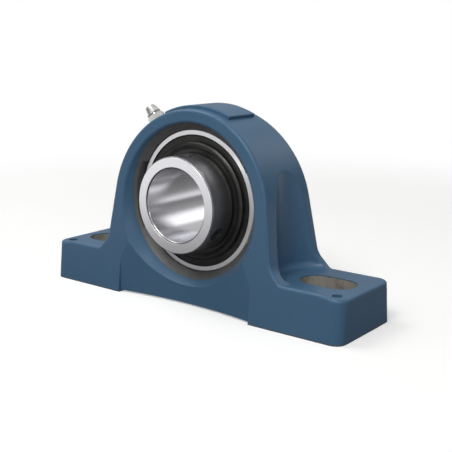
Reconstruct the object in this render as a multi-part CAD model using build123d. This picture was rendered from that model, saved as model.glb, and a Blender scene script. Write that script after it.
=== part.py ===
from build123d import *
from math import cos, radians, sin, sqrt, tan
import os

# Pillow block bearing for a 30 mm shaft: a cast housing with two slotted feet that holds a self-aligning,
# set-screw ball bearing. Millimetres, +Z up, the base's length along X, the shaft along Y. The origin is on
# the base plane, midway between the feet and under the middle of the bearing.

# Housing: base and arch
BASE_LENGTH = 152.0
BASE_DEPTH = 40.0
CROWN_DEPTH = 24.8
SHAFT_HEIGHT = 42.9
ARCH_WALL = 6.8  # metal above the widest part of the bearing
ARCH_DROP = 2.5  # the arch is struck from below the shaft, so its sides are thicker
FOOT_HEIGHT = 17.0
END_DRAFT = 0.5  # degrees, on the ends of the feet
FLANK_LEAN = 8.8  # degrees from upright, between the arch and the knee
KNEE_HEIGHT = 23.0
KNEE_RADIUS = 9.0
TOE_LEAN = 43.4  # degrees from upright, between the knee and the foot
TOE_RADIUS = 3.0
FOOT_CORNER_RADIUS = 4.6
EDGE_RADIUS = 1.4

# Housing: plain raised patch along the top of the arch
CREST_RISE = 1.4
CREST_WIDTH = 17.0
CREST_SPAN = 24.0  # degrees to each side of upright
CREST_EDGE_RADIUS = 0.4

# Housing: raised rim along the front of each foot
RIM_HEIGHT = 0.8
RIM_LAND = 0.3  # flat left between the rounded edge and the foot's face
RIM_END = 10.0  # from the end of the foot to where the rim has run out
RIM_RAMP = 5.0
RIM_RAMP_RADIUS = 12.0

# Housing: scoop in each flank, which clears a washer and a spanner
SCOOP_SIDE_WALL = 5.0  # foot left beside the scoop, front and rear
SCOOP_DEPTH = 3.9  # deepest part of the scoop, in from the arch's widest part
SCOOP_OFFSET = 1.0  # towards the rear
SCOOP_FOOT_RADIUS = 3.0  # where the scoop runs out on the foot
SCOOP_EDGE_RADIUS = 1.5

# Housing: bolt slots, dowel marks and the arched relief between the feet
SLOT_LENGTH = 23.5
SLOT_WIDTH = 14.0
SLOT_END_WALL = 5.5  # metal between a slot and the end of its foot
DIMPLE_FROM_END = 5.5
DIMPLE_FORWARD = 13.5
DIMPLE_DIAMETER = 4.0
DIMPLE_DEPTH = 4.0
DRILL_POINT_ANGLE = 118.0
PAD_SPACING = 70.0  # clear length between the two ground pads
PAD_RELIEF = 0.7
APRON_SINK = 4.5  # how far each face is hollowed midway between the feet
APRON_RADIUS = 200.0

# Housing: bearing seat
SEAT_CLEARANCE = 0.05  # the bearing ring swivels in the seat
THROAT_MARGIN = 0.5  # seat's width past each side of the bearing ring
MOUTH_RISE = 1.3  # machined mouth's outer edge, above the bearing's widest part
MOUTH_DEPTH = 2.7
FLARE_SLOPE = 0.7  # cast flare outside the mouth, rise over depth
FLARE_EDGE_RADIUS = 1.0
LOADING_SLOT_HEIGHT = 28.6  # takes the bearing edgeways, before it is turned square
LOADING_SLOT_MARGIN = 0.15

# Bearing rings
BORE = 30.0
RING_WALL_SHARE = 0.29375  # of the section between bore and outside: each ring's wall at its shoulders
INNER_WIDTH = 38.1
INNER_FRONT = 22.2  # from the middle of the balls to the front face
BORE_CHAMFER = 0.6
INNER_CHAMFER = 0.4
OUTER_DIAMETER = 62.0  # spherical
OUTER_WIDTH = 18.0
OUTER_CHAMFER = 0.5
SEAL_POCKET_RISE = 1.15
SEAL_POCKET_DEPTH = 2.6
LUBE_HOLE_DIAMETER = 2.0
LUBE_HOLE_ANGLE = 120.0

# Balls and cage
BALL_SHARE = 0.5953125  # of the same section: the ball, 9.525 mm in this size
BALL_COUNT = 9
GROOVE_RATIO = 0.52  # groove radius over ball diameter
BALL_CLEARANCE = 0.04
CAGE_SHARE = 0.357  # the cage's thickness over the ball's diameter
CAGE_WEB = 1.4  # behind the balls
CAGE_CLAW_SHARE = 0.546  # how far the claws reach in front, over the ball's radius
CAGE_CLEARANCE = 0.12
CAGE_SLIT = 1.4

# Seals and flingers
SHEET = 0.5
SHEET_BEND = 0.5  # radius of the sheet's middle round the flinger's highest part
SEAL_INSET = 0.5  # from the side of the outer ring to the seal's outer face
SEAL_GROOVE = 0.75  # from the outer ring to the middle of the shell's first bend
SEAL_LIP_CLEARANCE = 0.08
SEAL_LIP_HEIGHT = 1.6
SEAL_LIP_WIDTH = 1.3
SEAL_CRIMP = 1.0
FLINGER_GAP = 0.35
FLINGER_COLLAR = 1.6
FLINGER_VALLEY = 1.7  # flat part of the flinger, from its collar outwards
FLINGER_CREST = 3.6  # from the collar to the flinger's highest part
FLINGER_EDGE = 4.4
FLINGER_DISH = 0.9
FLINGER_TURN = 0.6  # how far its edge is turned back

# Set screws
SCREW_DIAMETER = 6.0
SCREW_SINK = 0.2  # below the ring's surface at each end
SCREW_FROM_FACE = 5.8
SCREW_ANGLES = (-32.0, 88.0)  # from +X towards +Z
SCREW_FLAT = 3.0
SCREW_SOCKET_DEPTH = 2.2
SCREW_POINT = 0.7
THREAD_CLEARANCE = 0.05

# Grease nipple and its way to the bearing
NIPPLE_LEAN = 42.5  # degrees from upright, towards -X
NIPPLE_THREAD = 6.0
NIPPLE_THREAD_LENGTH = 5.0
NIPPLE_HOLE_SPARE = 0.8
NIPPLE_FLAT = 7.0
NIPPLE_HEX_HEIGHT = 6.2
NIPPLE_NECK = 4.6
NIPPLE_NECK_HEIGHT = 0.8
NIPPLE_HEAD = 6.3
NIPPLE_HEAD_HEIGHT = 4.2
NIPPLE_HEAD_BEVEL = 0.5  # under the widest part of the head
NIPPLE_TIP = 4.2
NIPPLE_BORE = 2.8
NIPPLE_MOUTH = 1.5
NIPPLE_SEAT_WALL = 1.0  # metal left above the check ball's chamber
SPOT_FACE_DIAMETER = 9.4
SPOT_FACE_SINK = 0.5  # just deep enough for a full flat on the arch
CHECK_BALL = 2.3
SPRING_DIAMETER = 2.4
SPRING_WIRE = 0.36
SPRING_TURNS = 4
SPRING_LEDGE = 0.5
DUCT_DIAMETER = 3.0
GREASE_GROOVE_WIDTH = 2.4
GREASE_GROOVE_DEPTH = 0.8

# Worked out from the sizes above
HALF_LENGTH = BASE_LENGTH / 2
HALF_DEPTH = BASE_DEPTH / 2
OUTER_RADIUS = OUTER_DIAMETER / 2
ARCH_RADIUS = OUTER_RADIUS + ARCH_WALL + ARCH_DROP
ARCH_CENTRE = SHAFT_HEIGHT - ARCH_DROP
CROWN_HEIGHT = ARCH_CENTRE + ARCH_RADIUS
RIM_TOP = FOOT_HEIGHT + RIM_HEIGHT
SCOOP_RADIUS = HALF_DEPTH - SCOOP_SIDE_WALL
SCOOP_FLOOR = ARCH_RADIUS - SCOOP_DEPTH
BOLT_PLACE = HALF_LENGTH - SLOT_END_WALL - SLOT_LENGTH / 2
SEAT_RADIUS = OUTER_RADIUS + SEAT_CLEARANCE
MOUTH_RADIUS = OUTER_RADIUS + MOUTH_RISE
BORE_RADIUS = BORE / 2
SECTION = OUTER_RADIUS - BORE_RADIUS
RING_WALL = RING_WALL_SHARE * SECTION
INNER_RADIUS = BORE_RADIUS + RING_WALL
SHOULDER_RADIUS = OUTER_RADIUS - RING_WALL
POCKET_RADIUS = SHOULDER_RADIUS + SEAL_POCKET_RISE
PITCH_RADIUS = (INNER_RADIUS + SHOULDER_RADIUS) / 2
BALL_DIAMETER = BALL_SHARE * SECTION
BALL_RADIUS = BALL_DIAMETER / 2
GROOVE_RADIUS = GROOVE_RATIO * BALL_DIAMETER
GROOVE_SHIFT = GROOVE_RADIUS - BALL_RADIUS - BALL_CLEARANCE
LUBE_HOLE_PLACE = (OUTER_WIDTH - LUBE_HOLE_DIAMETER) / 2 - SEAL_POCKET_DEPTH
SEAL_FACE = OUTER_WIDTH / 2 - SEAL_INSET
SCREW_LENGTH = RING_WALL - 2 * SCREW_SINK
BEYOND = 10.0  # how far a cutting solid runs past what it cuts
UPWARDS = (Align.CENTER, Align.CENTER, Align.MIN)
DOWNWARDS = (Align.CENTER, Align.CENTER, Align.MAX)


def half_depth(height):
    # The front and rear faces lean back from the base to the crown.
    return HALF_DEPTH - (BASE_DEPTH - CROWN_DEPTH) / 2 * height / CROWN_HEIGHT


def turned(points):
    # A closed outline of (radius, y) points, turned about the shaft's line.
    return revolve(make_face(Polyline(*points, close=True)), Axis.Y)


def at_shaft(piece):
    return Pos(0, 0, SHAFT_HEIGHT) * piece


def both_sides(piece):
    return piece + mirror(piece, about=Plane.YZ)


def flank_points():
    # Where the right flank leaves the arch, and where it turns out towards the foot.
    lean = radians(FLANK_LEAN)
    shoulder = (ARCH_RADIUS * cos(lean), ARCH_CENTRE + ARCH_RADIUS * sin(lean))
    knee = (shoulder[0] + (shoulder[1] - KNEE_HEIGHT) * tan(lean), KNEE_HEIGHT)
    return shoulder, knee


def toe_at(height):
    # How far out the slope between the knee and the foot is at a height.
    return flank_points()[1][0] + (KNEE_HEIGHT - height) * tan(radians(TOE_LEAN))


def front_outline(rimmed):
    # Outline of the housing seen from the front, with or without the rims on its feet.
    shoulder, knee = flank_points()
    foot_top = RIM_TOP if rimmed else FOOT_HEIGHT
    corners = [(toe_at(foot_top), foot_top), knee, shoulder]
    rounding = [TOE_RADIUS, KNEE_RADIUS]
    if rimmed:
        ramp_high = (HALF_LENGTH - RIM_END, RIM_TOP)
        ramp_low = (ramp_high[0] + RIM_RAMP, FOOT_HEIGHT)
        corners = [ramp_low, ramp_high] + corners
        rounding = [RIM_RAMP_RADIUS, RIM_RAMP_RADIUS] + rounding
    end_top = (HALF_LENGTH - FOOT_HEIGHT * tan(radians(END_DRAFT)), FOOT_HEIGHT)
    right = FilletPolyline((HALF_LENGTH, 0), end_top, *corners, radius=[0] + rounding)
    left = mirror(right, about=Plane.YZ)
    crown = ThreePointArc(shoulder, (0, CROWN_HEIGHT), (-shoulder[0], shoulder[1]))
    base = Line((HALF_LENGTH, 0), (-HALF_LENGTH, 0))
    return Plane.XZ * make_face([*right.edges(), *left.edges(), crown, base])


def rounded_block(rimmed):
    # The outline at full depth, cut to the leaning front and rear faces, with its edges rounded.
    block = extrude(front_outline(rimmed), HALF_DEPTH + BEYOND, both=True)
    side = Polyline(
        (HALF_DEPTH, 0),
        (half_depth(CROWN_HEIGHT + BEYOND), CROWN_HEIGHT + BEYOND),
        (-half_depth(CROWN_HEIGHT + BEYOND), CROWN_HEIGHT + BEYOND),
        (-HALF_DEPTH, 0),
        close=True,
    )
    block &= extrude(Plane.YZ * make_face(side), HALF_LENGTH + BEYOND, both=True)
    corners = [
        edge
        for edge in block.edges()
        if edge.bounding_box().min.Z < RIM_HEIGHT < FOOT_HEIGHT - RIM_HEIGHT < edge.bounding_box().max.Z
    ]
    block = fillet(corners, FOOT_CORNER_RADIUS)
    return fillet(top_edges(block), EDGE_RADIUS)


def scooped_block():
    # The rims stand along the front only: behind them the block is cut to the outline without rims.
    block = rounded_block(True) - both_sides(scoop_cutter())
    block = fillet(scoop_edges(block), SCOOP_EDGE_RADIUS)
    rim_back = half_depth(RIM_TOP) - EDGE_RADIUS - RIM_LAND
    corner = (Align.CENTER, Align.MAX, Align.CENTER)
    front = Pos(0, -rim_back, 0) * Box(2 * BASE_LENGTH, BASE_DEPTH, 3 * CROWN_HEIGHT, align=corner)
    return block & (front + rounded_block(False))


def crest():
    # The raised patch, as a sector about the arch's centre.
    reach = ARCH_RADIUS + BEYOND
    half = reach * tan(radians(CREST_SPAN))
    sector = Plane.XZ * make_face(Polyline((0, 0), (half, reach), (-half, reach), close=True))
    sector = extrude(sector, CREST_WIDTH / 2, both=True)
    patch = sector & Rot(90, 0, 0) * Cylinder(ARCH_RADIUS + CREST_RISE, BASE_DEPTH)
    rim = patch.faces().filter_by(GeomType.CYLINDER)[0].edges()
    return Pos(0, 0, ARCH_CENTRE) * fillet(rim, CREST_EDGE_RADIUS)


def top_edges(block):
    # All edges round the top of the feet and along the arch, without the seams that run across it.
    chosen = []
    for edge in block.edges():
        box = edge.bounding_box()
        across = box.size.Y > box.size.X and box.size.Y > BASE_DEPTH / 4
        at_end = abs(edge.center().X) > HALF_LENGTH - FOOT_CORNER_RADIUS
        if box.min.Z > FOOT_HEIGHT - RIM_HEIGHT and (at_end or not across):
            chosen.append(edge)
    return chosen


def scoop_cutter():
    # Sinks a scoop into the flank above one foot.
    scoop = Cylinder(SCOOP_RADIUS, CROWN_HEIGHT, align=UPWARDS)
    scoop = fillet(scoop.edges().filter_by(GeomType.CIRCLE).sort_by(Axis.Z)[0], SCOOP_FOOT_RADIUS)
    return Pos(SCOOP_FLOOR + SCOOP_RADIUS, SCOOP_OFFSET, FOOT_HEIGHT) * scoop


def scoop_edges(body):
    # The edges between each scoop's wall and the flank it is sunk into.
    chosen = []
    for wall in body.faces().filter_by(GeomType.CYLINDER):
        if abs(wall.radius - SCOOP_RADIUS) < SEAT_CLEARANCE:
            chosen += [edge for edge in wall.edges() if edge.bounding_box().size.Z > SEAT_CLEARANCE]
    return chosen


def flare_edges(body):
    # The two edges where the seat's flare meets the front and rear faces.
    chosen = []
    for flare in body.faces().filter_by(GeomType.CONE):
        around = [edge for edge in flare.edges() if edge.bounding_box().size.X > 2 * MOUTH_RADIUS]
        chosen += [edge for edge in around if edge.bounding_box().size.Y > SEAT_CLEARANCE]
    return chosen


def slot_cutter():
    slot = extrude(SlotOverall(SLOT_LENGTH, SLOT_WIDTH), FOOT_HEIGHT + BEYOND, both=True)
    return Pos(BOLT_PLACE, 0, 0) * slot


def dimple_cutter():
    # A drilled mark: short, with the drill's point below it.
    radius = DIMPLE_DIAMETER / 2
    point = radius / tan(radians(DRILL_POINT_ANGLE / 2))
    outline = [(0, -DIMPLE_DEPTH), (radius, point - DIMPLE_DEPTH), (radius, BEYOND), (0, BEYOND)]
    mark = revolve(make_face(Plane.XZ * Polyline(*outline, close=True)), Axis.Z)
    return Pos(HALF_LENGTH - DIMPLE_FROM_END, -DIMPLE_FORWARD, FOOT_HEIGHT) * mark


def apron_cutter():
    # Hollows the front face between the feet, deepest in the middle.
    slab = Box(PAD_SPACING, 2 * APRON_RADIUS, SHAFT_HEIGHT, align=(Align.CENTER, Align.MAX, Align.MIN))
    barrel = Cylinder(APRON_RADIUS, SHAFT_HEIGHT, align=UPWARDS)
    return slab & Pos(0, APRON_SINK - HALF_DEPTH - APRON_RADIUS, 0) * barrel


def seat_cutter():
    # The spherical seat, with a machined mouth and a cast flare on each side.
    throat = OUTER_WIDTH / 2 + THROAT_MARGIN
    throat_radius = sqrt(SEAT_RADIUS**2 - throat**2)
    mouth = throat + MOUTH_DEPTH
    flare = mouth + BEYOND
    flare_radius = MOUTH_RADIUS + FLARE_SLOPE * BEYOND
    rear = Polyline((throat_radius, throat), (MOUTH_RADIUS, mouth), (flare_radius, flare), (0, flare))
    front = mirror(rear, about=Plane.XZ)
    seat = ThreePointArc((throat_radius, -throat), (SEAT_RADIUS, 0), (throat_radius, throat))
    middle = Line((0, -flare), (0, flare))
    section = make_face([*rear.edges(), *front.edges(), seat, middle])
    return at_shaft(revolve(section, Axis.Y))


def loading_cutter():
    # Slots at the front that take the bearing edgeways, before it is turned square.
    corner = (Align.CENTER, Align.MAX, Align.CENTER)
    slab = Box(OUTER_DIAMETER + BEYOND, BASE_DEPTH, LOADING_SLOT_HEIGHT, align=corner)
    ends = Rot(90, 0, 0) * Cylinder(SEAT_RADIUS + LOADING_SLOT_MARGIN, 2 * BASE_DEPTH)
    return at_shaft(slab & ends)


def grease_cutter():
    # The nipple's spot face and thread, the duct to the seat, and the groove to the bearing's own hole.
    spot = nipple_seat()
    thread_end = spot - NIPPLE_THREAD_LENGTH - NIPPLE_HOLE_SPARE
    cut = Pos(0, 0, spot) * Cylinder(SPOT_FACE_DIAMETER / 2, BEYOND, align=UPWARDS)
    cut += Pos(0, 0, thread_end) * Cylinder(NIPPLE_THREAD / 2 + THREAD_CLEARANCE, BEYOND, align=UPWARDS)
    inside = SEAT_RADIUS - GREASE_GROOVE_DEPTH
    cut += Pos(0, 0, inside) * Cylinder(DUCT_DIAMETER / 2, BEYOND, align=UPWARDS) & Sphere(spot)
    half = GREASE_GROOVE_WIDTH / 2
    groove_end = LUBE_HOLE_PLACE + half
    corner = (Align.CENTER, Align.MIN, Align.CENTER)
    feeder = Box(DUCT_DIAMETER, groove_end, 2 * GREASE_GROOVE_DEPTH, align=corner)
    cut += Pos(0, 0, sqrt(SEAT_RADIUS**2 - groove_end**2)) * feeder
    cut = Rot(0, -NIPPLE_LEAN, 0) * cut
    floor = sqrt(SEAT_RADIUS**2 - LUBE_HOLE_PLACE**2) + GREASE_GROOVE_DEPTH
    ring = [
        (PITCH_RADIUS, LUBE_HOLE_PLACE - half),
        (floor, LUBE_HOLE_PLACE - half),
        (floor, LUBE_HOLE_PLACE + half),
        (PITCH_RADIUS, LUBE_HOLE_PLACE + half),
    ]
    return at_shaft(cut + turned(ring))


def nipple_seat():
    # Distance of the nipple's spot face from the shaft's line, measured along the nipple.
    lean = radians(NIPPLE_LEAN)
    arch = sqrt(ARCH_RADIUS**2 - (ARCH_DROP * sin(lean)) ** 2) - ARCH_DROP * cos(lean)
    return arch - SPOT_FACE_SINK


def housing():
    body = scooped_block() - both_sides(slot_cutter() + dimple_cutter())
    front = apron_cutter()
    body -= front + mirror(front, about=Plane.XZ)
    body -= Pos(0, 0, PAD_RELIEF) * Box(PAD_SPACING, BASE_DEPTH, BEYOND, align=DOWNWARDS)
    body += crest()
    body -= seat_cutter()
    body = fillet(flare_edges(body), FLARE_EDGE_RADIUS)
    body -= loading_cutter()
    body -= grease_cutter()
    return body


def groove_disc(radius):
    # Half of a ball groove's section, on the side of the pitch circle that the radius points to.
    return Pos(radius, 0) * Circle(GROOVE_RADIUS)


def outer_ring():
    side = OUTER_WIDTH / 2
    step = side - SEAL_POCKET_DEPTH
    outline = [
        (SHOULDER_RADIUS, -step),
        (POCKET_RADIUS, -step),
        (POCKET_RADIUS, -side),
        (OUTER_DIAMETER, -side),
        (OUTER_DIAMETER, side),
        (POCKET_RADIUS, side),
        (POCKET_RADIUS, step),
        (SHOULDER_RADIUS, step),
    ]
    section = make_face(Polyline(*outline, close=True)) - groove_disc(PITCH_RADIUS - GROOVE_SHIFT)
    ring = revolve(section, Axis.Y) & Sphere(OUTER_RADIUS)
    rims = [edge for edge in ring.edges().filter_by(GeomType.CIRCLE) if edge.radius > POCKET_RADIUS + SHEET]
    ring = chamfer(rims, OUTER_CHAMFER)
    for place, turn in ((LUBE_HOLE_PLACE, 0), (-LUBE_HOLE_PLACE, LUBE_HOLE_ANGLE)):
        hole = Cylinder(LUBE_HOLE_DIAMETER / 2, OUTER_DIAMETER, align=UPWARDS)
        ring -= Rot(0, turn, 0) * Pos(0, place, 0) * hole
    return at_shaft(ring)


def inner_ring():
    rear = INNER_WIDTH - INNER_FRONT
    outline = [
        (BORE_RADIUS, BORE_CHAMFER - INNER_FRONT),
        (BORE_RADIUS + BORE_CHAMFER, -INNER_FRONT),
        (INNER_RADIUS - INNER_CHAMFER, -INNER_FRONT),
        (INNER_RADIUS, INNER_CHAMFER - INNER_FRONT),
        (INNER_RADIUS, rear - INNER_CHAMFER),
        (INNER_RADIUS - INNER_CHAMFER, rear),
        (BORE_RADIUS + BORE_CHAMFER, rear),
        (BORE_RADIUS, rear - BORE_CHAMFER),
    ]
    section = make_face(Polyline(*outline, close=True)) - groove_disc(PITCH_RADIUS + GROOVE_SHIFT)
    ring = revolve(section, Axis.Y)
    for angle in SCREW_ANGLES:
        ring -= screw_place(angle) * Cylinder(SCREW_DIAMETER / 2, OUTER_DIAMETER, align=UPWARDS)
    return at_shaft(ring)


def screw_place(angle):
    # Frame on the shaft's line at the screws, with +Z outwards along the screw.
    return Rot(0, 90 - angle, 0) * Pos(0, SCREW_FROM_FACE - INNER_FRONT, 0)


def set_screw(angle):
    # Just inside the ring's bore and outside, with a hexagon socket and a flat, chamfered point.
    radius = SCREW_DIAMETER / 2 - THREAD_CLEARANCE
    screw = Cylinder(radius, SCREW_LENGTH, align=UPWARDS)
    screw = chamfer(screw.edges().filter_by(GeomType.CIRCLE).sort_by(Axis.Z)[0], SCREW_POINT)
    socket = extrude(RegularPolygon(SCREW_FLAT / 2, 6, major_radius=False), SCREW_SOCKET_DEPTH)
    screw -= Pos(0, 0, SCREW_LENGTH - SCREW_SOCKET_DEPTH) * socket
    return at_shaft(screw_place(angle) * Pos(0, 0, BORE_RADIUS + SCREW_SINK) * screw)


def ball_places():
    return [Rot(0, 360 * index / BALL_COUNT, 0) * Pos(0, 0, PITCH_RADIUS) for index in range(BALL_COUNT)]


def ball(place):
    return at_shaft(place * Sphere(BALL_RADIUS))


def cage():
    # A snap cage: a ring behind the balls with pairs of claws that reach round each one.
    inner = PITCH_RADIUS - CAGE_SHARE * BALL_RADIUS
    outer = PITCH_RADIUS + CAGE_SHARE * BALL_RADIUS
    claw = CAGE_CLAW_SHARE * BALL_RADIUS
    back = BALL_RADIUS + CAGE_WEB
    blank = turned([(inner, -claw), (outer, -claw), (outer, back), (inner, back)])
    pocket = Sphere(BALL_RADIUS + CAGE_CLEARANCE)
    slit = Box(CAGE_SLIT, 2 * claw, PITCH_RADIUS, align=(Align.CENTER, Align.MIN, Align.CENTER))
    half_turn = Rot(0, 180 / BALL_COUNT, 0)
    for place in ball_places():
        blank -= place * pocket
        blank -= half_turn * place * Pos(0, -claw, 0) * slit
    return at_shaft(blank)


def sheet_ring(line):
    # Sheet steel bent along a line in (radius, y) and turned about the shaft's line.
    return revolve(trace(line, SHEET), Axis.Y)


def seal_shell():
    # Sheet-steel disc crimped into the outer ring, drawn at the rear; its inner edge carries the lip.
    inner = INNER_RADIUS + SEAL_LIP_CLEARANCE + SEAL_LIP_HEIGHT
    middle = SEAL_FACE - SHEET / 2
    bend = POCKET_RADIUS - SEAL_GROOVE
    crimp = middle - SEAL_CRIMP
    return sheet_ring(Polyline((inner, middle), (bend, middle), (bend, crimp), (POCKET_RADIUS, crimp)))


def seal_lip():
    # Rubber lip bonded to the shell, running on the inner ring.
    root = INNER_RADIUS + SEAL_LIP_CLEARANCE + SEAL_LIP_HEIGHT
    tip = INNER_RADIUS + SEAL_LIP_CLEARANCE
    waist = (root + tip) / 2
    shell = SEAL_FACE - SHEET
    front = SEAL_FACE - SEAL_LIP_WIDTH
    outline = [
        (tip, front),
        (tip + SHEET, front),
        (waist, shell - SHEET / 2),
        (root, shell),
        (root, SEAL_FACE),
        (waist, SEAL_FACE),
        (tip, front + SHEET),
    ]
    return turned(outline)


def flinger():
    # Sheet-steel disc with a collar pressed on the inner ring, dished outwards, its edge turned back.
    collar = INNER_RADIUS + SHEET / 2
    low = SEAL_FACE + FLINGER_GAP + SHEET / 2
    high = low + FLINGER_DISH
    line = FilletPolyline(
        (collar, low + FLINGER_COLLAR),
        (collar, low),
        (collar + FLINGER_VALLEY, low),
        (collar + FLINGER_CREST, high),
        (collar + FLINGER_EDGE, high - FLINGER_TURN),
        radius=[0, 0, SHEET_BEND],
    )
    return sheet_ring(line)


def front_side(piece):
    return at_shaft(mirror(piece, about=Plane.XZ))


def nipple_frame(piece):
    return at_shaft(Rot(0, -NIPPLE_LEAN, 0) * Pos(0, 0, nipple_seat()) * piece)


def chamber_top():
    # Underside of the nipple's mouth, where the check ball seals.
    exposed = NIPPLE_HEX_HEIGHT + NIPPLE_NECK_HEIGHT + NIPPLE_HEAD_HEIGHT
    return exposed - NIPPLE_SEAT_WALL


def nipple_body():
    # Threaded shank, hexagon, neck and coupling head, bored for the check ball and its spring.
    neck_top = NIPPLE_HEX_HEIGHT + NIPPLE_NECK_HEIGHT
    tip = neck_top + NIPPLE_HEAD_HEIGHT
    profile = [
        (0, -NIPPLE_THREAD_LENGTH),
        (NIPPLE_THREAD / 2, -NIPPLE_THREAD_LENGTH),
        (NIPPLE_THREAD / 2, 0),
        (NIPPLE_FLAT / 2, NIPPLE_HEX_HEIGHT),
        (NIPPLE_NECK / 2, NIPPLE_HEX_HEIGHT),
        (NIPPLE_NECK / 2, neck_top),
        (NIPPLE_HEAD / 2 - NIPPLE_HEAD_BEVEL, neck_top),
        (NIPPLE_HEAD / 2, neck_top + NIPPLE_HEAD_BEVEL),
        (NIPPLE_TIP / 2, tip),
        (0, tip),
    ]
    body = revolve(make_face(Plane.XZ * Polyline(*profile, close=True)), Axis.Z)
    body += extrude(RegularPolygon(NIPPLE_FLAT / 2, 6, major_radius=False), NIPPLE_HEX_HEIGHT)
    mouth_rise = (NIPPLE_BORE - NIPPLE_MOUTH) / 2
    bore = [
        (0, -NIPPLE_THREAD_LENGTH - BEYOND),
        (NIPPLE_BORE / 2, -NIPPLE_THREAD_LENGTH - BEYOND),
        (NIPPLE_BORE / 2, chamber_top() - mouth_rise),
        (NIPPLE_MOUTH / 2, chamber_top()),
        (NIPPLE_MOUTH / 2, tip + BEYOND),
        (0, tip + BEYOND),
    ]
    body -= revolve(make_face(Plane.XZ * Polyline(*bore, close=True)), Axis.Z)
    return nipple_frame(body)


def check_ball_height():
    # The ball rests in the cone under the nipple's mouth, where the cone is as wide as the ball's contact.
    lift = CHECK_BALL / 2 * sqrt(2)
    cone_tip = chamber_top() + NIPPLE_MOUTH / 2
    return cone_tip - lift - THREAD_CLEARANCE


def check_ball():
    return nipple_frame(Pos(0, 0, check_ball_height()) * Sphere(CHECK_BALL / 2))


def nipple_spring():
    # From the crimped ledge at the shank's end up to the check ball.
    radius = (SPRING_DIAMETER - SPRING_WIRE) / 2
    low = SPRING_WIRE / 2 + SPRING_LEDGE - NIPPLE_THREAD_LENGTH
    high = check_ball_height() - sqrt((CHECK_BALL / 2 + SPRING_WIRE / 2) ** 2 - radius**2) - THREAD_CLEARANCE
    path = Helix(pitch=(high - low) / SPRING_TURNS, height=high - low, radius=radius)
    section = Plane(origin=path @ 0, z_dir=path % 0) * Circle(SPRING_WIRE / 2)
    return nipple_frame(Pos(0, 0, low) * sweep(section, path=path, is_frenet=True))


def build():
    parts = {
        "housing": housing(),
        "grease_nipple_body": nipple_body(),
        "grease_nipple_ball": check_ball(),
        "grease_nipple_spring": nipple_spring(),
        "outer_ring": outer_ring(),
        "inner_ring": inner_ring(),
        "ball_cage": cage(),
        "seal_shell_front": front_side(seal_shell()),
        "seal_shell_rear": at_shaft(seal_shell()),
        "seal_lip_front": front_side(seal_lip()),
        "seal_lip_rear": at_shaft(seal_lip()),
        "flinger_front": front_side(flinger()),
        "flinger_rear": at_shaft(flinger()),
    }
    for number, angle in enumerate(SCREW_ANGLES, start=1):
        parts[f"set_screw_{number}"] = set_screw(angle)
    for number, place in enumerate(ball_places(), start=1):
        parts[f"ball_{number}"] = ball(place)
    return parts


os.makedirs("parts", exist_ok=True)
for name, piece in build().items():
    export_step(piece, f"parts/{name}.step")
    print(f"{name}: {piece.volume:.2f} mm3, {len(piece.solids())} solid(s)")
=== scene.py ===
import math
import bpy
from mathutils import Matrix, Vector


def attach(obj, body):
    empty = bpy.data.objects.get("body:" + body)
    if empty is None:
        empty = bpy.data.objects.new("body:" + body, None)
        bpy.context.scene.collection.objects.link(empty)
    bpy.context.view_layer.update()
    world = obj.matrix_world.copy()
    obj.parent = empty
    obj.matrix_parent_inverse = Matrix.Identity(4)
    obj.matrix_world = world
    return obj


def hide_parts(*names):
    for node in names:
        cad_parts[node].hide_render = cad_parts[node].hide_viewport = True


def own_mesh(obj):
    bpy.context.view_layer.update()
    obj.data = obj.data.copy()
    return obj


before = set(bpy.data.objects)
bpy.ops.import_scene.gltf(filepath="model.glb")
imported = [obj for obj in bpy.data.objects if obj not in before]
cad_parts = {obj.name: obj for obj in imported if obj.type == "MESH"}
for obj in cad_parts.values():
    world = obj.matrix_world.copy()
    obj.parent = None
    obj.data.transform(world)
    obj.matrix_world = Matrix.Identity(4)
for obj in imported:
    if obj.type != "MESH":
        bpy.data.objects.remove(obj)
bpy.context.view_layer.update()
pieces = dict(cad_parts)  # by name; the scene's own pieces are added to the nodes below
print("stage: frame loaded,", len(pieces), "nodes")

mm = 0.001
shaftHeight = 42.9  # mm, the shaft's line above the base plane
plainWhite = (1.0, 1.0, 1.0, 1.0)


def toLinear(hexCode):
    # sRGB hex to the linear colour that shader sockets take
    parts = [int(hexCode[i:i + 2], 16) / 255 for i in (0, 2, 4)]
    return [p / 12.92 if p <= 0.04045 else ((p + 0.055) / 1.055) ** 2.4 for p in parts] + [1.0]


def addNode(tree, kind, inputs=None, **settings):
    # adds a node; an input is a plain value, or the node or socket that feeds it
    node = tree.nodes.new(kind)
    for name, value in settings.items():
        setattr(node, name, value)
    for name, value in (inputs or {}).items():
        if isinstance(value, bpy.types.Node):
            value = value.outputs[0]
        if isinstance(value, bpy.types.NodeSocket):
            tree.links.new(value, node.inputs[name])
        else:
            node.inputs[name].default_value = value
    return node


def newMaterial(name):
    # an empty material with its output and the place on the piece in mm
    material = bpy.data.materials.new(name)
    material.use_nodes = True
    tree = material.node_tree
    tree.nodes.clear()
    output = addNode(tree, "ShaderNodeOutputMaterial")
    place = addNode(tree, "ShaderNodeTexCoord").outputs["Object"]
    place = addNode(tree, "ShaderNodeVectorMath", {0: place, "Scale": 1 / mm}, operation="SCALE")
    return material, tree, output, place.outputs[0]


def dress(names, material):
    for name in names:
        pieces[name].data.materials.clear()
        pieces[name].data.materials.append(material)


# Camera: found by fitting the photograph's edges to the housing's corners
view = {
    "azimuth": 37.922,  # degrees from straight in front, to the right
    "elevation": 12.616,
    "roll": 0.1143,
    "distance": 346.32,  # mm from the point aimed at
    "right": 6.916,  # mm that the camera is moved in its own frame
    "up": -18.676,
    "aimHeight": 50.0,
    "focal": 829.01,  # in pixels of the frame
    "frameWidth": 452,
    "sensor": 36.0,
    "clipStart": 0.01,  # m
}


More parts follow.
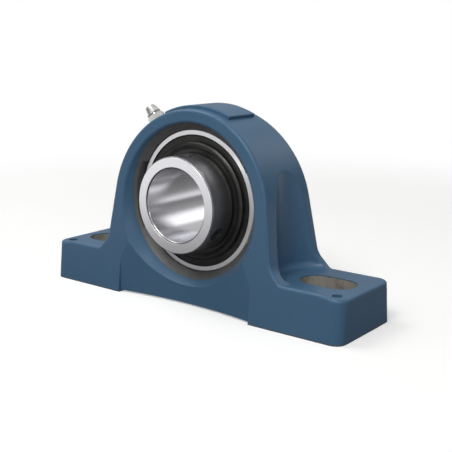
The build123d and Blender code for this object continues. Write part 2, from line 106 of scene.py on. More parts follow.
def placeCamera():
    azimuth, elevation = math.radians(view["azimuth"]), math.radians(view["elevation"])
    level = math.cos(elevation)
    back = Vector((math.sin(azimuth) * level, -math.cos(azimuth) * level, math.sin(elevation)))
    right = (-back).cross(Vector((0, 0, 1))).normalized()
    up = right.cross(-back)
    turn = Matrix.Rotation(math.radians(view["roll"]), 3, back)
    right, up = turn @ right, turn @ up
    aim = Vector((0, 0, view["aimHeight"]))
    spot = aim + back * view["distance"] + right * view["right"] + up * view["up"]
    data = bpy.data.cameras.new("photoCamera")
    data.sensor_width = view["sensor"]
    data.lens = view["focal"] * view["sensor"] / view["frameWidth"]
    data.clip_start = view["clipStart"]
    camera = bpy.data.objects.new("photoCamera", data)
    bpy.context.scene.collection.objects.link(camera)
    facing = Matrix((right, up, back)).transposed().to_4x4()
    camera.matrix_world = Matrix.Translation(spot * mm) @ facing
    bpy.context.scene.camera = camera


placeCamera()
print("stage: camera")

# Studio: a pale floor that turns white to the eye, a soft world and four lamps. The key lamp is high in
# front, a broad one high at the left, one behind shines in the bore and along the arch, and a small one at
# the right draws the edges.
studio = {
    "floorSize": 6.0,  # m
    "floorToEye": "E6E6E6",
    "floorBounce": "7C7C7C",  # the floor as the object's lighting sees it
    "floorLift": 0.34,  # added to what the eye sees, so that the floor is white outside the shadow
    "glossNearPaintedShade": 0.10,  # the floor's glow in a reflection, at the object and farther off; held low near the object, a painted shade round it
    "glossFar": 0.95,
    "glossFrom": 0.08,  # m from the object
    "glossBy": 0.34,
    "whiteFrom": 0.20,  # m from the object, where the floor begins to turn to plain white
    "whiteBy": 0.50,
    "worldLight": 0.13,
    "glossLow": 0.18,  # the backdrop in a reflection, level with the object and overhead
    "glossHigh": 0.80,
    "glossTop": 0.8,  # height on a dome of radius 1 where the backdrop's reflection is at its brightest
    "aim": (0.0, 0.0, 0.04),  # m, what the lamps point at
    "lamps": {
        # name: place in m, size in m, power in W, colour
        "keyLamp": ((0.16, -0.76, 0.96), 0.50, 7.6, "FFFDF8"),
        "leftLamp": ((-0.55, -0.15, 0.95), 0.60, 4.2, "FFFFFF"),
        "backLamp": ((0.30, 0.80, 0.60), 0.42, 0.60, "FFFFFF"),
        "rightLamp": ((0.72, -0.62, 0.38), 0.26, 1.3, "F6FAFF"),
    },
}


def seenShare(tree, forEye, forGloss):
    # one value for the eye, one for rays by which a gloss or a glass sees the background, 0 for light
    path = addNode(tree, "ShaderNodeLightPath")
    eye = path.outputs["Is Camera Ray"]
    eye = addNode(tree, "ShaderNodeMath", {0: eye, 1: forEye}, operation="MULTIPLY")
    shine = addNode(tree, "ShaderNodeMath", {0: path.outputs["Is Glossy Ray"],
                                             1: path.outputs["Is Transmission Ray"]}, operation="MAXIMUM")
    shine = addNode(tree, "ShaderNodeMath", {0: shine, 1: forGloss}, operation="MULTIPLY")
    return addNode(tree, "ShaderNodeMath", {0: eye, 1: shine}, operation="MAXIMUM")


def buildStudio():
    bpy.ops.object.select_all(action="DESELECT")
    bpy.ops.mesh.primitive_plane_add(size=studio["floorSize"], location=(0, 0, 0))
    floor = bpy.context.object
    floor.name = "studioFloor"
    # a matt paper floor, which keeps the soft shadow under the feet and fades to white far off; in
    # reflections it glows less near the object, a painted shade round it
    material, tree, output, place = newMaterial("mattPaperFloor")
    eye = addNode(tree, "ShaderNodeLightPath").outputs["Is Camera Ray"]
    paperColour = addNode(tree, "ShaderNodeMix", {"Factor": eye, 6: toLinear(studio["floorBounce"]),
                                                  7: toLinear(studio["floorToEye"])}, data_type="RGBA")
    matt = addNode(tree, "ShaderNodeBsdfDiffuse", {"Color": paperColour.outputs[2]})
    distance = addNode(tree, "ShaderNodeVectorMath", {0: place}, operation="LENGTH").outputs["Value"]
    # the floor's glow for reflections grows with distance from the object: painted shade near it
    gloss = addNode(tree, "ShaderNodeMapRange", {"Value": distance,
                                                 "From Min": studio["glossFrom"] / mm,
                                                 "From Max": studio["glossBy"] / mm,
                                                 "To Min": studio["glossNearPaintedShade"],
                                                 "To Max": studio["glossFar"]},
                    interpolation_type="SMOOTHSTEP")
    lift = seenShare(tree, studio["floorLift"], gloss)
    glow = addNode(tree, "ShaderNodeEmission", {"Color": plainWhite, "Strength": lift})
    near = addNode(tree, "ShaderNodeAddShader", {0: matt, 1: glow})
    fade = addNode(tree, "ShaderNodeMapRange", {"Value": distance,
                                                "From Min": studio["whiteFrom"] / mm,
                                                "From Max": studio["whiteBy"] / mm},
                   interpolation_type="SMOOTHSTEP")
    fade = addNode(tree, "ShaderNodeMath", {0: fade, 1: eye}, operation="MULTIPLY")
    white = addNode(tree, "ShaderNodeEmission", {"Color": plainWhite, "Strength": 1.0})
    paper = addNode(tree, "ShaderNodeMixShader", {0: fade, 1: near, 2: white})
    tree.links.new(paper.outputs[0], output.inputs["Surface"])
    floor.data.materials.append(material)

    world = bpy.data.worlds.new("softStudio")
    world.use_nodes = True
    tree = world.node_tree
    tree.nodes.clear()
    output = addNode(tree, "ShaderNodeOutputWorld")
    direction = addNode(tree, "ShaderNodeTexCoord").outputs["Generated"]
    direction = addNode(tree, "ShaderNodeSeparateXYZ", {0: direction})
    gloss = addNode(tree, "ShaderNodeMapRange", {"Value": direction.outputs["Z"],
                                                 "From Max": studio["glossTop"],
                                                 "To Min": studio["glossLow"],
                                                 "To Max": studio["glossHigh"]})
    seen = seenShare(tree, 1.0, gloss)
    strength = addNode(tree, "ShaderNodeMath", {0: seen, 1: studio["worldLight"]}, operation="MAXIMUM")
    background = addNode(tree, "ShaderNodeBackground", {"Color": plainWhite, "Strength": strength})
    tree.links.new(background.outputs[0], output.inputs["Surface"])
    bpy.context.scene.world = world

    for name, (place, size, power, colour) in studio["lamps"].items():
        data = bpy.data.lights.new(name, "AREA")
        data.shape = "SQUARE"
        data.size = size
        data.energy = power
        data.color = toLinear(colour)[:3]
        lamp = bpy.data.objects.new(name, data)
        bpy.context.scene.collection.objects.link(lamp)
        lamp.location = place
        aim = Vector(studio["aim"]) - Vector(place)
        lamp.rotation_euler = aim.to_track_quat("-Z", "Y").to_euler()


buildStudio()
bpy.context.scene.view_settings.view_transform = "Standard"
print("stage: studio")

# Housing: sand-cast iron in sprayed blue enamel, with its machined places left bare.
# The enamel gives a soft sheen over the casting's faint grain; the bare iron is brown-grey and dull.
casting = {
    "enamel": "4C6E8D",
    "enamelDark": "466886",  # where the film is thicker
    "filmScale": 0.06,  # noise scales are per mm
    "enamelSheen": 0.25,  # the shader's specular level
    "enamelRoughness": 0.34,
    "iron": "666665",  # turned, in the mouth; its darkness is partly painted shade, for the shade the mouth lies in
    "slotIron": "A6A199",  # milled, in the slots; paler than the mouth's iron, which is darkened as painted shade
    "ironStain": "595754",  # thin rust in the bare places
    "stainScale": 0.35,
    "stainFrom": 0.50,  # noise values between which the stain comes in
    "stainBy": 0.85,
    "ironRoughness": 0.48,
    "ironMetal": 0.25,
    # where the paint ends, in mm
    "paintSoft": 0.15,  # half the width of its edge
    "paintCreep": 0.12,  # how far its edge wanders
    "creepScale": 0.45,
    "creepFrom": 0.25,  # noise values for the wandering's two ends
    "creepBy": 0.75,
    "mouthRadius": 32.3,
    "slotCentre": 58.75,
    "slotHalfStraight": 4.75,
    "slotRadius": 7.5,
    "slotTop": 16.65,
    "loadingRadius": 31.5,
    "loadingHalfHeight": 14.6,
    "nippleLean": 42.5,  # degrees from upright, towards the left
    "spotFaceRadius": 4.7,
    "spotFaceSoft": 0.1,
    "groundHeight": 0.4,  # above the ground pads
    # relief, in mm
    "grainSize": 1.3,  # between the casting's grains, through the paint
    "grainDepth": 0.020,
    "peelSize": 5.0,  # between slow waves in the film
    "peelShare": 1.5,  # their height over the grain's
    "turningPitch": 0.5,  # between tool marks in the mouth, coarser than real so that they show
    "turningDepth": 0.008,
}


def castingMaterial():
    material, tree, output, place = newMaterial("enamelledCastIron")
    axes = addNode(tree, "ShaderNodeSeparateXYZ", {0: place})
    x, y, z = (axes.outputs[name] for name in "XYZ")
    rise = addNode(tree, "ShaderNodeMath", {0: z, 1: shaftHeight}, operation="SUBTRACT")
    fromShaft = addNode(tree, "ShaderNodeCombineXYZ", {"X": x, "Z": rise})
    fromShaft = addNode(tree, "ShaderNodeVectorMath", {0: fromShaft}, operation="LENGTH")
    radius = fromShaft.outputs["Value"]
    creep = addNode(tree, "ShaderNodeTexNoise", {"Vector": place, "Scale": casting["creepScale"],
                                                 "Detail": 3.0})
    creep = addNode(tree, "ShaderNodeMapRange", {"Value": creep.outputs[0],
                                                 "From Min": casting["creepFrom"],
                                                 "From Max": casting["creepBy"],
                                                 "To Min": -casting["paintCreep"],
                                                 "To Max": casting["paintCreep"]})

    def within(distance, limit, soft=casting["paintSoft"]):
        # 1 where a distance is under its limit, with the paint's wandering edge
        shifted = addNode(tree, "ShaderNodeMath", {0: distance, 1: creep}, operation="ADD")
        return addNode(tree, "ShaderNodeMapRange", {"Value": shifted, "From Min": limit + soft,
                                                    "From Max": limit - soft},
                       interpolation_type="SMOOTHSTEP")

    mouth = within(radius, casting["mouthRadius"])

    # a bolt slot is the place that is near the straight line between its two round ends
    along = addNode(tree, "ShaderNodeMath", {0: x}, operation="ABSOLUTE")
    along = addNode(tree, "ShaderNodeMath", {0: along, 1: casting["slotCentre"]}, operation="SUBTRACT")
    along = addNode(tree, "ShaderNodeMath", {0: along}, operation="ABSOLUTE")
    along = addNode(tree, "ShaderNodeMath", {0: along, 1: casting["slotHalfStraight"]},
                    operation="SUBTRACT")
    along = addNode(tree, "ShaderNodeMath", {0: along, 1: 0.0}, operation="MAXIMUM")
    toSlot = addNode(tree, "ShaderNodeCombineXYZ", {"X": along, "Y": y})
    toSlot = addNode(tree, "ShaderNodeVectorMath", {0: toSlot}, operation="LENGTH").outputs["Value"]
    slot = addNode(tree, "ShaderNodeMath", {0: within(toSlot, casting["slotRadius"]),
                                            1: within(z, casting["slotTop"])}, operation="MINIMUM")

    # the loading slots are behind the middle, at the height of the shaft
    farRise = addNode(tree, "ShaderNodeMath", {0: rise}, operation="ABSOLUTE")
    loading = addNode(tree, "ShaderNodeMath", {0: within(radius, casting["loadingRadius"]),
                                               1: within(farRise, casting["loadingHalfHeight"])},
                      operation="MINIMUM")
    loading = addNode(tree, "ShaderNodeMath", {0: loading, 1: within(y, 0.0)}, operation="MINIMUM")

    # the nipple's spot face lies round a line that leans out of the bearing's middle
    lean = math.radians(casting["nippleLean"])
    nippleLine = (-math.sin(lean), 0, math.cos(lean))
    fromCentre = addNode(tree, "ShaderNodeCombineXYZ", {"X": x, "Y": y, "Z": rise})
    across = addNode(tree, "ShaderNodeVectorMath", {0: fromCentre, 1: nippleLine},
                     operation="CROSS_PRODUCT")
    across = addNode(tree, "ShaderNodeVectorMath", {0: across.outputs[0]}, operation="LENGTH")
    across = within(across.outputs["Value"], casting["spotFaceRadius"], casting["spotFaceSoft"])
    out = addNode(tree, "ShaderNodeVectorMath", {0: fromCentre, 1: nippleLine}, operation="DOT_PRODUCT")
    out = addNode(tree, "ShaderNodeMath", {0: out.outputs["Value"], 1: 0.0}, operation="GREATER_THAN")
    spotFace = addNode(tree, "ShaderNodeMath", {0: across, 1: out}, operation="MINIMUM")

    bare = mouth
    for share in (slot, loading, spotFace, within(z, casting["groundHeight"])):
        bare = addNode(tree, "ShaderNodeMath", {0: bare, 1: share}, operation="MAXIMUM")

    film = addNode(tree, "ShaderNodeTexNoise", {"Vector": place, "Scale": casting["filmScale"],
                                                "Detail": 4.0})
    film = addNode(tree, "ShaderNodeMix", {"Factor": film.outputs[0], 6: toLinear(casting["enamel"]),
                                           7: toLinear(casting["enamelDark"])}, data_type="RGBA")
    stain = addNode(tree, "ShaderNodeTexNoise", {"Vector": place, "Scale": casting["stainScale"],
                                                 "Detail": 6.0, "Roughness": 0.65})
    stain = addNode(tree, "ShaderNodeMapRange", {"Value": stain.outputs[0],
                                                 "From Min": casting["stainFrom"],
                                                 "From Max": casting["stainBy"]})
    # the mouth's iron is darker than the slots', partly a painted shade
    iron = addNode(tree, "ShaderNodeMix", {"Factor": slot, 6: toLinear(casting["iron"]),
                                           7: toLinear(casting["slotIron"])}, data_type="RGBA")
    iron = addNode(tree, "ShaderNodeMix", {"Factor": stain, 6: iron.outputs[2],
                                           7: toLinear(casting["ironStain"])}, data_type="RGBA")
    colour = addNode(tree, "ShaderNodeMix", {"Factor": bare, 6: film.outputs[2], 7: iron.outputs[2]},
                     data_type="RGBA")
    roughness = addNode(tree, "ShaderNodeMapRange", {"Value": bare, "To Min": casting["enamelRoughness"],
                                                     "To Max": casting["ironRoughness"]})
    metal = addNode(tree, "ShaderNodeMath", {0: bare, 1: casting["ironMetal"]}, operation="MULTIPLY")

    grain = addNode(tree, "ShaderNodeTexNoise", {"Vector": place, "Scale": 1 / casting["grainSize"],
                                                 "Detail": 3.0})
    peel = addNode(tree, "ShaderNodeTexNoise", {"Vector": place, "Scale": 1 / casting["peelSize"],
                                                "Detail": 1.0})
    peel = addNode(tree, "ShaderNodeMath", {0: peel.outputs[0], 1: casting["peelShare"]},
                   operation="MULTIPLY")
    skin = addNode(tree, "ShaderNodeMath", {0: grain.outputs[0], 1: peel}, operation="ADD")
    skin = addNode(tree, "ShaderNodeMath", {0: skin, 1: casting["grainDepth"] * mm}, operation="MULTIPLY")
    marks = addNode(tree, "ShaderNodeMath", {0: y, 1: 2 * math.pi / casting["turningPitch"]},
                    operation="MULTIPLY")
    marks = addNode(tree, "ShaderNodeMath", {0: marks}, operation="SINE")
    marks = addNode(tree, "ShaderNodeMath", {0: marks, 1: casting["turningDepth"] * mm},
                    operation="MULTIPLY")
    height = addNode(tree, "ShaderNodeMix", {"Factor": bare, 2: skin, 3: marks}, data_type="FLOAT")
    bump = addNode(tree, "ShaderNodeBump", {"Height": height.outputs[0], "Distance": 1.0,
                                            "Strength": 1.0})
    shader = addNode(tree, "ShaderNodeBsdfPrincipled", {"Base Color": colour.outputs[2],
                                                        "Roughness": roughness, "Metallic": metal,
                                                        "Specular IOR Level": casting["enamelSheen"],
                                                        "Normal": bump})
    tree.links.new(shader.outputs[0], output.inputs["Surface"])
    return material


dress(["housing"], castingMaterial())
print("stage: housing")

# Rings: through-hardened bearing steel. Ground side faces are satin and pale, the bore is honed and
# mirrors in soft bands, the inner ring's outside is ground finer and looks dark in the shade.
rings = {
    "bore": "D6D6DA",
    "groundFace": "E6E6EA",
    "brokenEdge": "5C5C60",  # the chamfers are coloured dark, a dark line along the ring's edges
    "innerOutside": "B2B2B6",
    "faceRoughness": 0.26,
    "boreRoughness": 0.20,
    "outsideRoughness": 0.36,
    "edgeRoughness": 0.62,
    # radii of the inner ring in mm, each pair the two sides of the line between two finishes
    "boreEdge": (15.15, 15.05),
    "boreChamfer": (15.5, 15.6),
    "outerChamfer": (19.3, 19.4),
    "outsideEdge": (19.58, 19.68),
    "lay": 0.25,  # mm between grinding marks, coarser than real so that they show
    "layDepth": 0.0012,
    "layScale": 0.8,  # per mm, of the noise that makes them uneven
}


def ringMaterial(name, outsideColour, rimShare):
    # rimShare is 1 where the outer chamfer is dark, 0 where it isn't
    material, tree, output, place = newMaterial(name)
    axes = addNode(tree, "ShaderNodeSeparateXYZ", {0: place})
    rise = addNode(tree, "ShaderNodeMath", {0: axes.outputs["Z"], 1: shaftHeight}, operation="SUBTRACT")
    fromShaft = addNode(tree, "ShaderNodeCombineXYZ", {"X": axes.outputs["X"], "Z": rise})
    fromShaft = addNode(tree, "ShaderNodeVectorMath", {0: fromShaft}, operation="LENGTH")
    radius = fromShaft.outputs["Value"]
    shares = {}
    for line in ("boreEdge", "boreChamfer", "outerChamfer", "outsideEdge"):
        shares[line] = addNode(tree, "ShaderNodeMapRange", {"Value": radius, "From Min": rings[line][0],
                                                            "From Max": rings[line][1]})
    bore, outside = shares["boreEdge"], shares["outsideEdge"]
    rim = addNode(tree, "ShaderNodeMath", {0: shares["outerChamfer"], 1: rimShare}, operation="MULTIPLY")
    ground = addNode(tree, "ShaderNodeMath", {0: shares["boreChamfer"], 1: rim}, operation="SUBTRACT")
    colour = addNode(tree, "ShaderNodeMix", {"Factor": ground, 6: toLinear(rings["brokenEdge"]),
                                             7: toLinear(rings["groundFace"])}, data_type="RGBA")
    colour = addNode(tree, "ShaderNodeMix", {"Factor": bore, 6: colour.outputs[2],
                                             7: toLinear(rings["bore"])}, data_type="RGBA")
    colour = addNode(tree, "ShaderNodeMix", {"Factor": outside, 6: colour.outputs[2],
                                             7: toLinear(outsideColour)}, data_type="RGBA")
    roughness = addNode(tree, "ShaderNodeMapRange", {"Value": ground, "To Min": rings["edgeRoughness"],
                                                     "To Max": rings["faceRoughness"]})
    roughness = addNode(tree, "ShaderNodeMix", {"Factor": bore, 2: roughness, 3: rings["boreRoughness"]},
                        data_type="FLOAT")
    roughness = addNode(tree, "ShaderNodeMix", {"Factor": outside, 2: roughness.outputs[0],
                                                3: rings["outsideRoughness"]}, data_type="FLOAT")

    # grinding marks run round the shaft, on faces and cylinders alike
    uneven = addNode(tree, "ShaderNodeTexNoise", {"Vector": place, "Scale": rings["layScale"],
                                                  "Detail": 2.0})
    marks = addNode(tree, "ShaderNodeMath", {0: radius, 1: axes.outputs["Y"]}, operation="ADD")
    marks = addNode(tree, "ShaderNodeMath", {0: marks, 1: uneven.outputs[0]}, operation="ADD")
    marks = addNode(tree, "ShaderNodeMath", {0: marks, 1: 2 * math.pi / rings["lay"]}, operation="MULTIPLY")
    marks = addNode(tree, "ShaderNodeMath", {0: marks}, operation="SINE")
    height = addNode(tree, "ShaderNodeMath", {0: marks, 1: rings["layDepth"] * mm}, operation="MULTIPLY")
    bump = addNode(tree, "ShaderNodeBump", {"Height": height, "Distance": 1.0, "Strength": 1.0})
    shader = addNode(tree, "ShaderNodeBsdfPrincipled", {"Base Color": colour.outputs[2], "Metallic": 1.0,
                                                        "Roughness": roughness.outputs[0],
                                                        "Normal": bump})
    tree.links.new(shader.outputs[0], output.inputs["Surface"])
    return material


dress(["inner_ring"], ringMaterial("groundInnerRingSteel", rings["innerOutside"], 1.0))
dress(["outer_ring"], ringMaterial("groundOuterRingSteel", rings["groundFace"], 0.0))
print("stage: rings")

# Threaded pieces and the nipple's spring: the CAD nodes are plain there, so these stand for them, with
# threads, chamfered corners, sockets and closed end turns. Both threads are M6, at their real pitch.
weld = 1e-6  # m, corners that are nearer than this are one corner
roundSegments = 64
clear = 0.01  # mm past a face, so that no two faces of a boolean lie in one plane
past = 1.0  # mm that a cutting shape reaches beyond the piece


def deselectAll():
    bpy.ops.object.select_all(action="DESELECT")


def activate(piece):
    deselectAll()
    piece.select_set(True)
    bpy.context.view_layer.objects.active = piece


def selectMesh(piece):
    # goes into edit mode with the whole mesh selected
    activate(piece)
    bpy.ops.object.mode_set(mode="EDIT")
    bpy.ops.mesh.select_all(action="SELECT")


def applyModifiers(piece):
    activate(piece)
    for modifier in list(piece.modifiers):
        bpy.ops.object.modifier_apply(modifier=modifier.name)


def combine(piece, other, operation):
    # a boolean between two closed pieces; the second one is used up
    modifier = piece.modifiers.new(operation, "BOOLEAN")
    modifier.object = other
    modifier.operation = operation
    modifier.solver = "EXACT"
    applyModifiers(piece)
    bpy.data.objects.remove(other, do_unlink=True)


def windUp(piece, pitch, turns, steps):
    # a profile wound up round Z
    screw = piece.modifiers.new("windUp", "SCREW")
    screw.axis = "Z"
    screw.screw_offset = pitch * mm
    screw.iterations = turns
    screw.steps = screw.render_steps = steps
    screw.use_merge_vertices = True
    screw.merge_threshold = weld
    applyModifiers(piece)


def cleanUp(piece):
    selectMesh(piece)
    bpy.ops.mesh.remove_doubles(threshold=weld)
    bpy.ops.mesh.select_all(action="SELECT")
    bpy.ops.mesh.normals_make_consistent(inside=False)
    bpy.ops.object.mode_set(mode="OBJECT")


def capEnds():
    # puts a face on every open ring of edges of the mesh that is being edited, and ends the editing
    bpy.ops.mesh.select_all(action="SELECT")
    bpy.ops.mesh.remove_doubles(threshold=weld)
    bpy.ops.mesh.select_all(action="SELECT")
    bpy.ops.mesh.fill_holes(sides=0)
    bpy.ops.object.mode_set(mode="OBJECT")


def outline(name, points):
    # a corner extruded along (radius, height) points in mm, to be turned round Z
    deselectAll()
    bpy.ops.mesh.primitive_plane_add(size=mm)
    piece = bpy.context.object
    piece.name = name
    bpy.ops.object.mode_set(mode="EDIT")
    bpy.ops.mesh.merge(type="CENTER")
    bpy.ops.transform.translate(value=(points[0][0] * mm, 0, points[0][1] * mm))
    for (radius, height), (nextRadius, nextHeight) in zip(points, points[1:]):
        step = ((nextRadius - radius) * mm, 0, (nextHeight - height) * mm)
        bpy.ops.mesh.extrude_vertices_move(TRANSFORM_OT_translate={"value": step})
    bpy.ops.object.mode_set(mode="OBJECT")
    return piece


def turnedPiece(name, points):
    # turns a line round Z into a closed piece
    piece = outline(name, points)
    selectMesh(piece)
    bpy.ops.mesh.spin(steps=roundSegments, angle=2 * math.pi, center=(0, 0, 0), axis=(0, 0, 1))
    bpy.ops.object.mode_set(mode="OBJECT")
    cleanUp(piece)
    return piece


def hexagon(name, acrossFlats, low, high):
    deselectAll()
    bpy.ops.mesh.primitive_cylinder_add(vertices=6, radius=acrossFlats * mm / math.sqrt(3),
                                        depth=(high - low) * mm, location=(0, 0, (high + low) / 2 * mm),
                                        rotation=(0, 0, math.pi / 6))
    bpy.ops.object.transform_apply(location=True, rotation=True, scale=True)
    bpy.context.object.name = name
    return bpy.context.object


def moveMesh(piece, turn, shift):
    # puts a finished piece's place into its mesh, and leaves its object at the origin
    piece.data.transform(Matrix.Translation(Vector(shift) * mm) @ turn)
    piece.data.update()


def smooth(piece, degrees):
    activate(piece)
    bpy.ops.object.shade_smooth_by_angle(angle=math.radians(degrees))


thread = {
    "pitch": 1.0,  # mm
    "depth": 0.54,
    "crest": 0.12,  # flat on the thread's top
    "steps": 40,  # in each turn
    "lead": 2.113,  # pitches wound before the rod's end, so that no corner lies in the plane of a cut
    "spareTurns": 3,
}


def threadedRod(name, radius, low, high):
    # one pitch of the thread's outline, wound up, then cut square and closed at both ends
    pitch, root, halfCrest = thread["pitch"], radius - thread["depth"], thread["crest"] / 2
    start = low - thread["lead"] * pitch
    piece = outline(name, ((root, start), (radius, start + pitch / 2 - halfCrest),
                           (radius, start + pitch / 2 + halfCrest), (root, start + pitch)))
    windUp(piece, pitch, math.ceil((high - low) / pitch) + thread["spareTurns"], thread["steps"])
    cleanUp(piece)
    for height, upwards in ((low, -1), (high, 1)):
        selectMesh(piece)
        bpy.ops.mesh.bisect(plane_co=(0, 0, height * mm), plane_no=(0, 0, upwards), clear_outer=True)
        capEnds()
    cleanUp(piece)
    return piece


# Grease nipple: a hexagon with a turned head for the coupler, and a shank in the arch
nipple = {
    "lean": 42.5,  # degrees from upright, towards the left
    "seat": 37.92,  # mm from the shaft's line to the face under the hexagon
    "threadRadius": 3.0,
    "threadLength": 5.0,
    "shankSink": 0.5,  # how far the shank reaches into the hexagon
    "acrossFlats": 7.0,
    "hexHeight": 6.2,
    "cornerRim": 0.09,  # past the flats, where the cone that cuts the corners begins
    "cornerSpare": 0.2,  # past the corners, where it ends
    "cornerCone": 30.0,  # degrees
    # the turned head as radius and height, from the neck up to the lip of its mouth
    "head": ((2.30, 6.00), (2.30, 7.00), (2.60, 7.04), (2.98, 7.20), (3.15, 7.55), (3.08, 7.90),
             (2.60, 9.60), (2.28, 10.70), (2.14, 11.05), (1.92, 11.20), (1.10, 11.20)),
    # its bore, from the check ball's seat up to the lip
    "mouth": ((1.40, 9.55), (0.75, 10.20), (0.75, 10.80), (0.84, 11.06)),
    "boreRadius": 1.40,
    "smoothUnder": 32,  # degrees
}


def alongNipple(height):
    # the place in mm that is so high above the face under the nipple's hexagon
    reach, lean = nipple["seat"] + height, math.radians(nipple["lean"])
    return (-math.sin(lean) * reach, 0, shaftHeight + math.cos(lean) * reach)


def placeOnNipple(piece):
    moveMesh(piece, Matrix.Rotation(-math.radians(nipple["lean"]), 4, "Y"), alongNipple(0))


def buildNipple():
    height, flats, foot = nipple["hexHeight"], nipple["acrossFlats"], -nipple["threadLength"]
    body = hexagon("greaseNipple", flats, 0, height)
    rim = flats / 2 + nipple["cornerRim"]
    corner = flats / math.sqrt(3) + nipple["cornerSpare"]
    drop = (corner - rim) * math.tan(math.radians(nipple["cornerCone"]))
    cones = ((0, -clear), (rim, -clear), (corner, drop), (corner, height - drop), (rim, height + clear),
             (0, height + clear))
    combine(body, turnedPiece("hexCorners", cones), "INTERSECT")
    head, (lip, top) = nipple["head"], nipple["head"][-1]
    combine(body, turnedPiece("head", ((0, head[0][1]),) + head + ((0, top),)), "UNION")
    combine(body, threadedRod("shank", nipple["threadRadius"], foot, nipple["shankSink"]), "UNION")
    bore = ((0, foot - past), (nipple["boreRadius"], foot - past)) + nipple["mouth"]
    bore += ((lip, top + clear), (lip, top + past), (0, top + past))
    combine(body, turnedPiece("bore", bore), "DIFFERENCE")
    cleanUp(body)
    placeOnNipple(body)
    smooth(body, nipple["smoothUnder"])
    return body


# Spring under the nipple's check ball, with one closed turn at each end
spring = {
    "wireRadius": 0.18,
    "coilRadius": 1.02,
    "foot": -4.32,  # mm from the face under the nipple's hexagon to the middle of the wire
    "head": 8.37,
    "turns": 4,  # between the closed ones
    "closedPitch": 0.38,
    "segments": 12,  # round the wire
    "steps": 36,  # in each turn
    "travel": 0.8,  # mm that the check ball pushes it down
    "spare": 0.05,
    "smoothUnder": 40,  # degrees
}


def coil(name, height, pitch, turns):
    # a ring of wire, wound up
    deselectAll()
    bpy.ops.mesh.primitive_circle_add(vertices=spring["segments"], radius=spring["wireRadius"] * mm,
                                      location=(spring["coilRadius"] * mm, 0, height * mm),
                                      rotation=(math.pi / 2, 0, 0))
    bpy.ops.object.transform_apply(location=True, rotation=True, scale=True)
    piece = bpy.context.object
    piece.name = name
    windUp(piece, pitch, turns, spring["steps"])
    return piece


def buildSpring():
    closed = spring["closedPitch"]
    low, high = spring["foot"] + closed, spring["head"] - closed
    piece = coil("checkSpring", low, (high - low) / spring["turns"], spring["turns"])
    ends = [coil("springFoot", spring["foot"], closed, 1), coil("springHead", high, closed, 1)]
    activate(piece)
    for end in ends:
        end.select_set(True)
    bpy.ops.object.join()
    selectMesh(piece)
    capEnds()
    cleanUp(piece)
    placeOnNipple(piece)
    smooth(piece, spring["smoothUnder"])
    return piece


# Set screws: hexagon-socket screws in the inner ring's extension
setScrew = {
    "radius": 2.95,
    "foot": 15.2,  # mm from the shaft's line to the screw's point
    "length": 4.3,
    "pointBevel": 0.7,
    "topBevel": 0.3,
    "bevelSpare": 0.2,  # past the threads, where both bevels end
    "socketFlats": 3.0,
    "socketDepth": 2.2,
    "socketBevel": 0.25,
    "bevelReach": 0.5,  # above the screw, to where the socket's bevel is cut
    "frontOffset": -16.4,  # mm along the shaft
    "angles": (-32.0, 88.0),  # degrees from the right, towards the top
    "smoothUnder": 32,  # degrees
}


def buildSetScrew():
    length, radius, spare = setScrew["length"], setScrew["radius"], setScrew["bevelSpare"]
    screw = threadedRod("setScrew", radius, 0, length)
    point, top = setScrew["pointBevel"], setScrew["topBevel"]
    ends = ((0, -clear), (radius - point, -clear), (radius + spare, point + spare),
            (radius + spare, length - top - spare), (radius - top, length + clear), (0, length + clear))
    combine(screw, turnedPiece("ends", ends), "INTERSECT")
    flats, socketFoot = setScrew["socketFlats"], length - setScrew["socketDepth"]
    combine(screw, hexagon("socket", flats, socketFoot, length + past), "DIFFERENCE")
    reach, above = flats / 2 + setScrew["socketBevel"], setScrew["bevelReach"]
    bevel = ((0, length - reach), (reach + above, length + above), (0, length + above))
    combine(screw, turnedPiece("socketMouth", bevel), "DIFFERENCE")
    cleanUp(screw)
    return screw


def addSetScrews():
    plain = buildSetScrew()
    made = []
    for number, angle in enumerate(setScrew["angles"], start=1):
        screw = plain.copy()
        screw.data = plain.data.copy()
        screw.name = "setScrew_%d" % number
        bpy.context.scene.collection.objects.link(screw)
        across, up = math.cos(math.radians(angle)), math.sin(math.radians(angle))
        foot = (across * setScrew["foot"], setScrew["frontOffset"], shaftHeight + up * setScrew["foot"])
        moveMesh(screw, Matrix.Rotation(math.radians(90 - angle), 4, "Y"), foot)
        smooth(screw, setScrew["smoothUnder"])
        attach(screw, "set_screw_%d" % number)
        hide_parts("set_screw_%d" % number)
        made.append(screw)
    bpy.data.objects.remove(plain, do_unlink=True)
    return made


greaseNipple = buildNipple()
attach(greaseNipple, "housing")
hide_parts("grease_nipple_body")
checkSpring = buildSpring()
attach(checkSpring, "housing")
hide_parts("grease_nipple_spring")
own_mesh(checkSpring)
for piece in [greaseNipple, checkSpring] + addSetScrews():
    pieces[piece.name] = piece
    print(piece.name, len(piece.data.polygons), "faces")
print("stage: threaded pieces and spring")

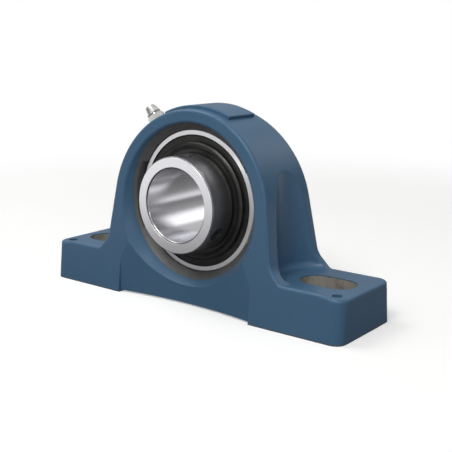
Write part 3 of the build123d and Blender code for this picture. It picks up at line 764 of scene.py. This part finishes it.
# Small metal, rubber and plastic pieces
finishes = {
    # phosphated sheet steel: black and satin, with a soft sheen on its bends
    "phosphatedSheetSteel": {"on": ["seal_shell_front", "seal_shell_rear"],
                             "colour": "2A2A2A", "second": "343432", "metal": 0.55, "roughness": 0.42,
                             "grain": 0.6, "depth": 0.002},
    # the same, a little browner and shinier, so that the flinger stands out from the seal behind it
    "phosphatedFlingerSteel": {"on": ["flinger_front", "flinger_rear"],
                               "colour": "303030", "second": "3B3A38", "metal": 0.60, "roughness": 0.38,
                               "grain": 0.6, "depth": 0.002},
    # moulded nitrile rubber: black and matt
    "mouldedNitrile": {"on": ["seal_lip_front", "seal_lip_rear"],
                       "colour": "161616", "second": "1C1C1C", "metal": 0.0, "roughness": 0.62,
                       "grain": 0.4, "depth": 0.004},
    # bright zinc plate over turned steel: pale, with a slight haze
    "brightZincPlate": {"on": ["greaseNipple"],
                        "colour": "DADAD9", "second": "C6C6C5", "metal": 1.0, "roughness": 0.22,
                        "grain": 0.5, "depth": 0.002},
    # lapped chrome steel: a clear mirror
    "lappedBallSteel": {"on": ["grease_nipple_ball"] + ["ball_%d" % number for number in range(1, 10)],
                        "colour": "D8D8DA", "second": "CFCFD2", "metal": 1.0, "roughness": 0.06,
                        "grain": 2.0, "depth": 0.0003},
    # drawn spring wire: grey, with a broad dull shine
    "drawnSpringWire": {"on": ["checkSpring"],
                        "colour": "9A9A9C", "second": "7E7E80", "metal": 1.0, "roughness": 0.34,
                        "grain": 0.2, "depth": 0.001},
    # glass-filled polyamide: cream and waxy, with short fibres near its skin
    "glassFilledPolyamide": {"on": ["ball_cage"],
                             "colour": "D8CDB0", "second": "CBBE9E", "metal": 0.0, "roughness": 0.48,
                             "grain": 0.5, "depth": 0.006},
    # black-oxided alloy steel, worn on its way in: dark grey with an oily sheen
    "blackOxideSteel": {"on": ["setScrew_1", "setScrew_2"],
                        "colour": "4A4A4D", "second": "5A5A5D", "metal": 0.85, "roughness": 0.50,
                        "grain": 0.4, "depth": 0.003},
}
surface = {
    "patchScale": 0.22,  # per mm, of the patches in the second colour
    "patchFrom": 0.35,  # noise values between which they come in
    "patchBy": 0.65,
    "grainFrom": 0.3,
    "grainBy": 0.7,
    "spread": 0.15,  # share by which the grain makes the roughness vary
}


def finishMaterial(name, finish):
    # the grain's size and depth are in mm
    material, tree, output, place = newMaterial(name)
    grain = addNode(tree, "ShaderNodeTexNoise", {"Vector": place, "Scale": 1 / finish["grain"],
                                                 "Detail": 4.0})
    patch = addNode(tree, "ShaderNodeTexNoise", {"Vector": place, "Scale": surface["patchScale"],
                                                 "Detail": 3.0})
    patch = addNode(tree, "ShaderNodeMapRange", {"Value": patch.outputs[0],
                                                 "From Min": surface["patchFrom"],
                                                 "From Max": surface["patchBy"]})
    colour = addNode(tree, "ShaderNodeMix", {"Factor": patch, 6: toLinear(finish["colour"]),
                                             7: toLinear(finish["second"])}, data_type="RGBA")
    low, high = finish["roughness"] * (1 - surface["spread"]), finish["roughness"] * (1 + surface["spread"])
    rough = addNode(tree, "ShaderNodeMapRange", {"Value": grain.outputs[0],
                                                 "From Min": surface["grainFrom"],
                                                 "From Max": surface["grainBy"],
                                                 "To Min": low, "To Max": high})
    height = addNode(tree, "ShaderNodeMath", {0: grain.outputs[0], 1: finish["depth"] * mm},
                     operation="MULTIPLY")
    bump = addNode(tree, "ShaderNodeBump", {"Height": height, "Distance": 1.0, "Strength": 1.0})
    shader = addNode(tree, "ShaderNodeBsdfPrincipled", {"Base Color": colour.outputs[2],
                                                        "Metallic": finish["metal"],
                                                        "Roughness": rough, "Normal": bump})
    tree.links.new(shader.outputs[0], output.inputs["Surface"])
    return material


for finishName, finish in finishes.items():
    dress(finish["on"], finishMaterial(finishName, finish))
print("stage: small pieces")
